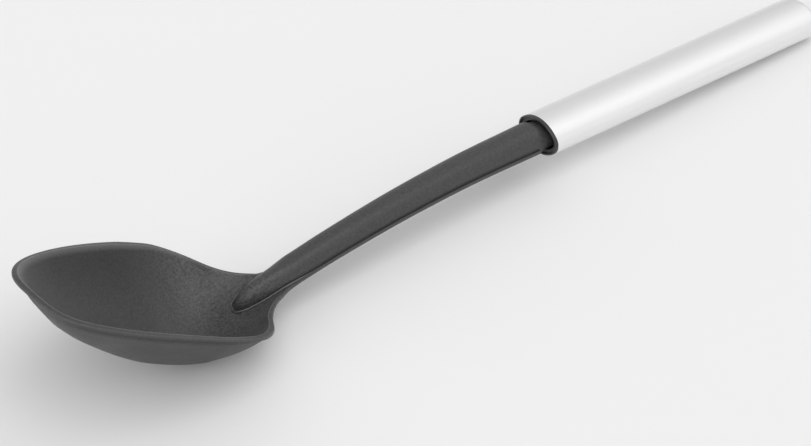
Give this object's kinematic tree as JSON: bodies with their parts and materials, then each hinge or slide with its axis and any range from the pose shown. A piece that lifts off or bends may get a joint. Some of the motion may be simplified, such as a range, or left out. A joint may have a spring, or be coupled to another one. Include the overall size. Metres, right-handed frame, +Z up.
{
  "type": "serving spoon",
  "caption": "Serving spoon with an angled egg-shaped dark nylon bowl, an arched neck and a slim oval stainless steel tube handle joined by a flanged collar.",
  "frame": {"origin": "on the table under the middle of the spoon's bounding box", "axes": "+X from the bowl's front edge towards the handle's end, +Z up from the table, Y across the bowl"},
  "size_m": [0.3412, 0.064, 0.0574],
  "materials": {
    "nylon": "fine-grained dark grey nylon, soft sheen",
    "black_plastic": "smooth black plastic",
    "steel": "satin stainless steel, grain along the handle"
  },
  "bodies": {
    "root": {"spoon_head": "nylon", "collar": "black_plastic", "handle_tube": "steel"}
  },
  "joints": []
}
